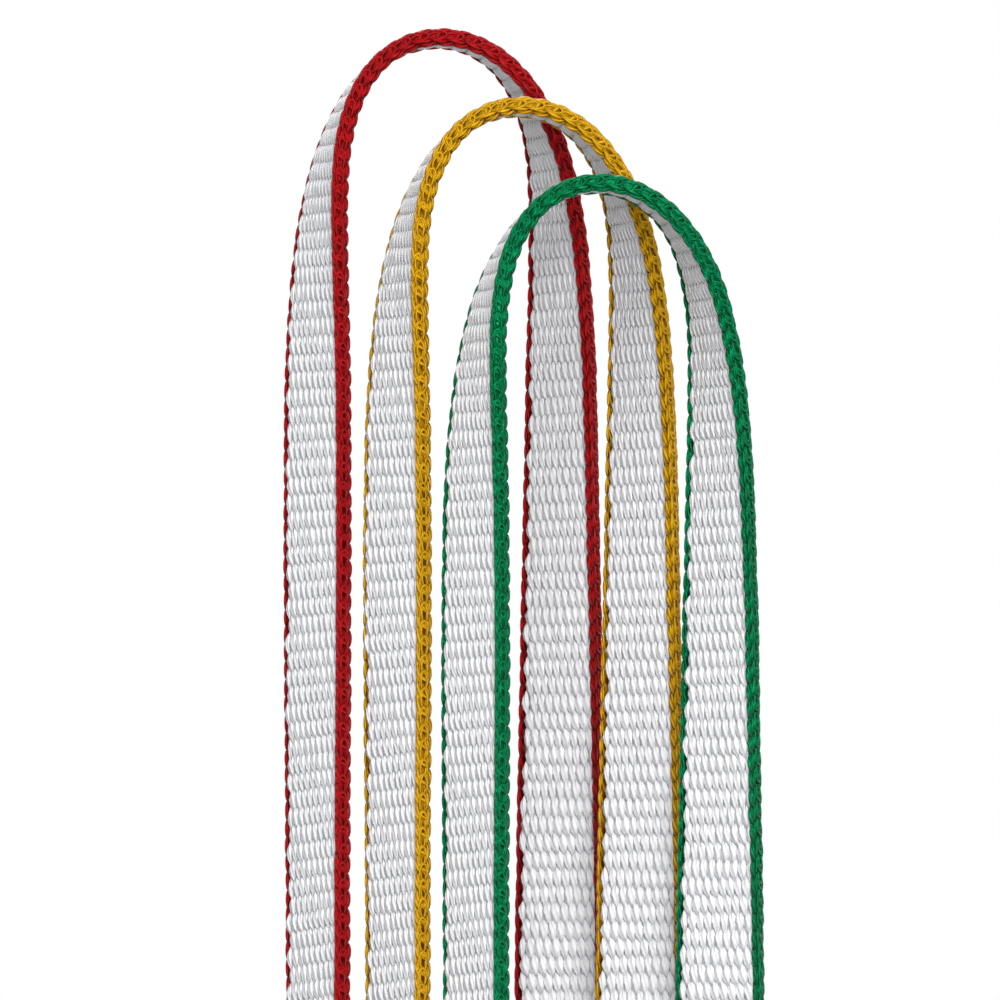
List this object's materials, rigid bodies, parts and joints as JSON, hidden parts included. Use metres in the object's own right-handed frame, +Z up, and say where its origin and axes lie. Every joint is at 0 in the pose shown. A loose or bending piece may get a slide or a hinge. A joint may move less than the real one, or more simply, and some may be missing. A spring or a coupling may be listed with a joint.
{
  "type": "polyethylene climbing sling",
  "caption": "Sewn loop slings of narrow white polyethylene webbing with coloured selvedges and a bar-tacked lap, hanging side by side from their top bights.",
  "frame": {"origin": "middle of the red sling's top bight, on the inner face of the tape that bears on a carabiner", "axes": "+Z up along the hanging loops; +Y across the tape, from the front selvedge to the back one, so the row steps towards -Y; +X from the left limb to the right limb seen from the front"},
  "size_m": [0.0486, 0.0483, 0.2456],
  "materials": {
    "white_ground": "woven glossy filament yarn",
    "red_edge": "woven glossy filament yarn",
    "red_thread": "bar-tacked polyester thread",
    "yellow_edge": "woven glossy filament yarn",
    "yellow_thread": "bar-tacked polyester thread",
    "green_edge": "woven glossy filament yarn",
    "green_thread": "bar-tacked polyester thread"
  },
  "bodies": {
    "red_sling": {"red_ground_webbing": "white_ground", "red_front_selvedge": "red_edge", "red_back_selvedge": "red_edge", "red_bar_tack_1": "red_thread", "red_bar_tack_2": "red_thread", "red_bar_tack_3": "red_thread", "red_bar_tack_4": "red_thread", "red_bar_tack_5": "red_thread", "red_bar_tack_6": "red_thread"},
    "yellow_sling": {"yellow_ground_webbing": "white_ground", "yellow_front_selvedge": "yellow_edge", "yellow_back_selvedge": "yellow_edge", "yellow_bar_tack_1": "yellow_thread", "yellow_bar_tack_2": "yellow_thread", "yellow_bar_tack_3": "yellow_thread", "yellow_bar_tack_4": "yellow_thread", "yellow_bar_tack_5": "yellow_thread", "yellow_bar_tack_6": "yellow_thread"},
    "green_sling": {"green_ground_webbing": "white_ground", "green_front_selvedge": "green_edge", "green_back_selvedge": "green_edge", "green_bar_tack_1": "green_thread", "green_bar_tack_2": "green_thread", "green_bar_tack_3": "green_thread", "green_bar_tack_4": "green_thread", "green_bar_tack_5": "green_thread", "green_bar_tack_6": "green_thread"}
  },
  "joints": [
    {"name": "yellow_slide", "type": "slide", "parent": "red_sling", "child": "yellow_sling", "axis": [0, -1, 0], "range_m": [0, 0.04]},
    {"name": "green_slide", "type": "slide", "parent": "yellow_sling", "child": "green_sling", "axis": [0, -1, 0], "range_m": [0, 0.04]}
  ]
}
